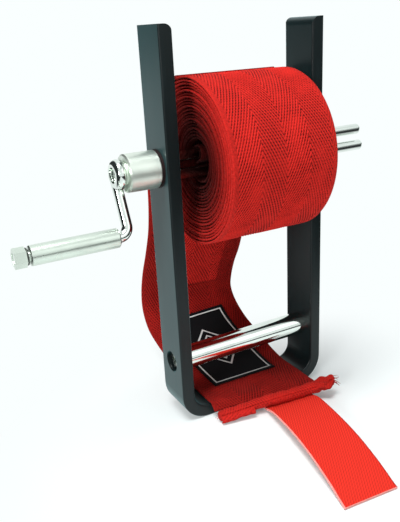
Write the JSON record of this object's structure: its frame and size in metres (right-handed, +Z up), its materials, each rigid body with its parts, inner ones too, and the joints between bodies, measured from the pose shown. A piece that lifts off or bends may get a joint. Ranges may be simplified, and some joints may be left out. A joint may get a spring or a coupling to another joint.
{
  "type": "boxing hand wrap roller",
  "caption": "Free-standing winder for boxing hand wraps: a bent flat-bar frame carries a cranked two-prong fork that rolls the wrap up under a guide bar, and pulls out to free the roll.",
  "frame": {"origin": "middle of the underside of the base, on the surface it stands on", "axes": "+X along the spindle, away from the crank; -Y to the front, where the wrap is fed in; +Z up"},
  "size_m": [0.1748, 0.1668, 0.176],
  "materials": {
    "black_frame": "satin black",
    "bush": "plain black nylon",
    "bright_chrome": "polished",
    "screw_steel": "bright zinc",
    "red_fibre": "matte dark red fibre",
    "brushed_nickel": "brushed round",
    "satin_steel": "satin",
    "dark_washer": "matte",
    "wrap_red": "herringbone weave",
    "tab_red": "hook tape",
    "label_black": "woven label"
  },
  "bodies": {
    "frame": {"u_frame": "black_frame", "left_bush": "bush", "right_bush": "bush", "guide_bar": "bright_chrome", "left_guide_screw": "screw_steel", "right_guide_screw": "screw_steel", "wrap_tail": "wrap_red", "wrap_label": "label_black", "wrap_hem": "wrap_red", "closure_tab": "tab_red"},
    "roll": {"wrap_roll": "wrap_red", "thumb_loop": "wrap_red"},
    "crank": {"crank_hub": "brushed_nickel", "thrust_washer": "red_fibre", "upper_prong": "bright_chrome", "lower_prong": "bright_chrome", "crank_arm": "bright_chrome", "arm_screw": "screw_steel", "grip_washer": "dark_washer", "grip_nut": "satin_steel"},
    "grip": {"grip_sleeve": "satin_steel"}
  },
  "joints": [
    {"name": "roll_spin", "type": "hinge", "parent": "frame", "child": "roll", "pos_m": [0, 0, 0.1195], "axis": [1, 0, 0], "continuous": true},
    {"name": "crank_pull", "type": "slide", "parent": "roll", "child": "crank", "axis": [-1, 0, 0], "range_m": [0, 0.115]},
    {"name": "grip_spin", "type": "hinge", "parent": "crank", "child": "grip", "pos_m": [-0.0812, -0.00647, 0.09535], "axis": [1, 0, 0], "continuous": true}
  ]
}
